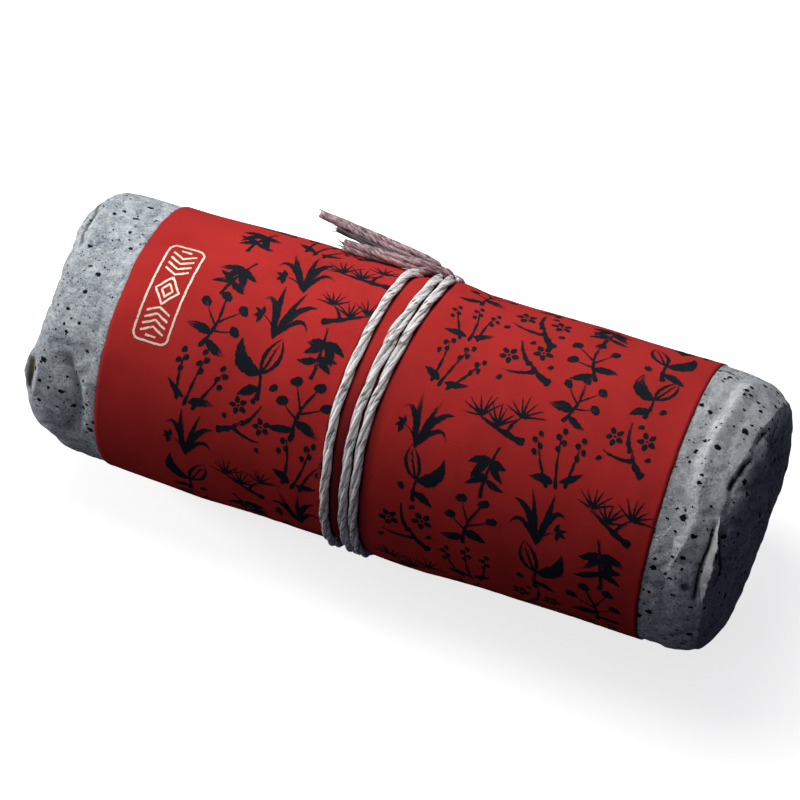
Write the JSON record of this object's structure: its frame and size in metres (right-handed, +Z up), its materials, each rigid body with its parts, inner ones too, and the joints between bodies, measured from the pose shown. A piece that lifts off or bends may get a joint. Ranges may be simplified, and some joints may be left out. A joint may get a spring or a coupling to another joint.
{
  "type": "paper-wrapped pressed tea roll",
  "caption": "Round roll of pressed dark tea in grey handmade paper, with a red paper band and a tied string, lying on its side.",
  "frame": {"origin": "on the surface that the roll lies on, under the middle of its bounding box", "axes": "+X along the roll, towards its more domed end; -Y towards the side away from the knot; +Z up"},
  "size_m": [0.2169, 0.0862, 0.0835],
  "materials": {
    "handmade_paper": "matte",
    "red_paper": "matte",
    "twine": "matte"
  },
  "bodies": {
    "root": {"tea_roll": "handmade_paper", "paper_band": "red_paper", "string_turn_left": "twine", "string_turn_middle": "twine", "string_turn_right": "twine", "string_knot": "twine", "string_tail_upper": "twine", "string_tail_lower": "twine"}
  },
  "joints": []
}
